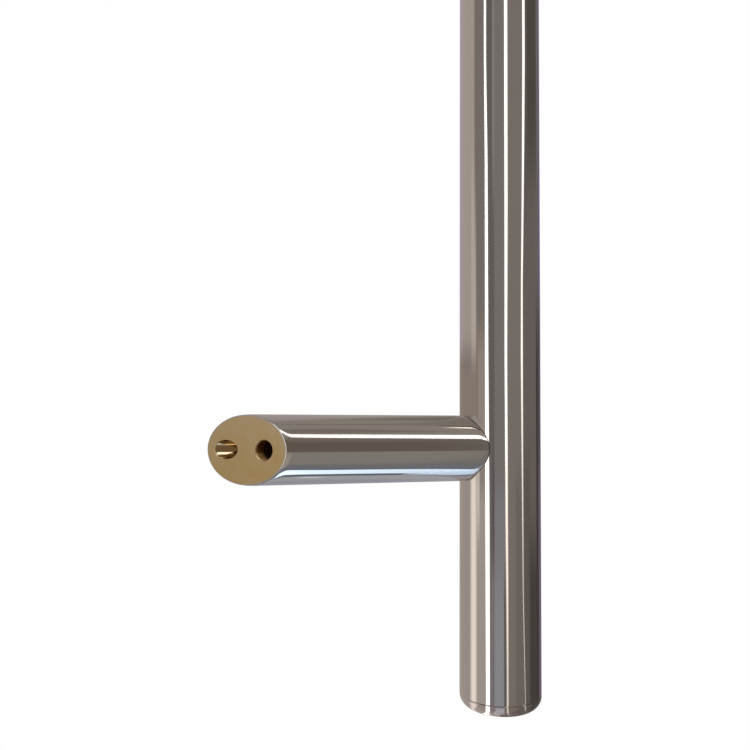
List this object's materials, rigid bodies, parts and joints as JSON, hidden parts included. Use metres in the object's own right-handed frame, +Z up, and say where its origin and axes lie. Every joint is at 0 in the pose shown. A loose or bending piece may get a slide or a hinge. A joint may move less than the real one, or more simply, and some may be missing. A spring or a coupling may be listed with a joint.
{
  "type": "door pull handle",
  "caption": "Offset door pull handle: a round grip tube with rounded end caps on thinner posts that lean sideways and are mitred to lie flat on the door over tapped brass inserts.",
  "frame": {"origin": "on the door's surface, midway between the two tapped fixing holes", "axes": "+Z up along the grip, +Y from the handle into the door, -X towards the side where the grip stands"},
  "size_m": [0.1039, 0.0859, 0.6],
  "materials": {
    "polished_stainless": "mirror-polished stainless steel",
    "turned_brass": "satin brass, as faced",
    "plain_steel": "turned steel",
    "black_screw_steel": "black oxide steel"
  },
  "bodies": {
    "root": {"grip_tube": "polished_stainless", "lower_end_cap": "polished_stainless", "lower_post": "polished_stainless", "lower_mount_insert": "turned_brass", "lower_post_plug": "plain_steel", "lower_anchor_slug": "plain_steel", "lower_joint_screw": "black_screw_steel", "lower_lock_washer": "plain_steel", "upper_end_cap": "polished_stainless", "upper_post": "polished_stainless", "upper_mount_insert": "turned_brass", "upper_post_plug": "plain_steel", "upper_anchor_slug": "plain_steel", "upper_joint_screw": "black_screw_steel", "upper_lock_washer": "plain_steel"}
  },
  "joints": []
}
